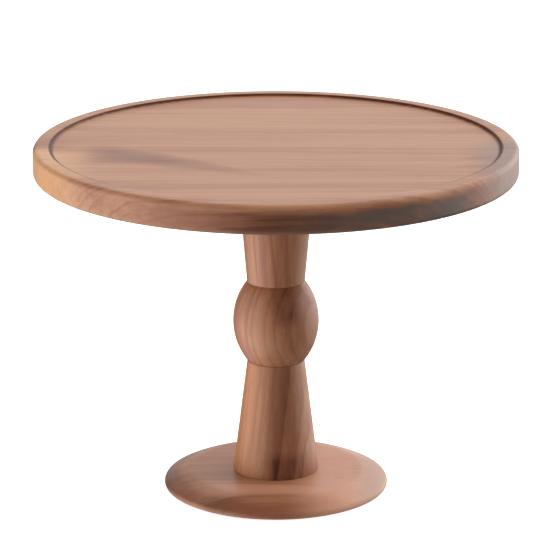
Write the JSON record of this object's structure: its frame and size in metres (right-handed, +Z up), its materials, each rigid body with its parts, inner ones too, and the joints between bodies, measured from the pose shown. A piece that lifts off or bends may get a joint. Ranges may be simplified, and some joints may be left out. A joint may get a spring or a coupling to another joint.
{
  "type": "pedestal cake stand",
  "caption": "Turned wooden pedestal cake stand: a round plate with a raised rim on a beaded, flared stem and a low domed base.",
  "frame": {"origin": "centre of the footprint, on the plane the four feet stand on", "axes": "+Z up along the axis the stand is turned about, +X along the grain of the plate boards, to the right seen from the front, +Y to the back"},
  "size_m": [0.3, 0.3, 0.2218],
  "materials": {
    "plate_wood": "satin lacquered walnut or acacia, grain along X",
    "stem_wood": "satin lacquered walnut or acacia, grain upright",
    "base_wood": "satin lacquered walnut or acacia, grain along X",
    "dowel_wood": "raw beech",
    "zinc_steel": "bright zinc plated",
    "insert_brass": "plain machined",
    "foot_rubber": "matte"
  },
  "bodies": {
    "root": {"plate_board_front": "plate_wood", "plate_board_front_middle": "plate_wood", "plate_board_back_middle": "plate_wood", "plate_board_back": "plate_wood", "stem_neck": "stem_wood", "stem_ball": "stem_wood", "stem_cone": "stem_wood", "base_disc": "base_wood", "foot_front_left": "foot_rubber", "foot_front_right": "foot_rubber", "foot_back_left": "foot_rubber", "foot_back_right": "foot_rubber", "base_dowels": "dowel_wood", "plate_dowels": "dowel_wood", "tie_rod": "zinc_steel", "flat_washer": "zinc_steel", "spring_washer": "zinc_steel", "hex_nut": "zinc_steel", "insert_screws": "zinc_steel", "threaded_insert": "insert_brass"}
  },
  "joints": []
}
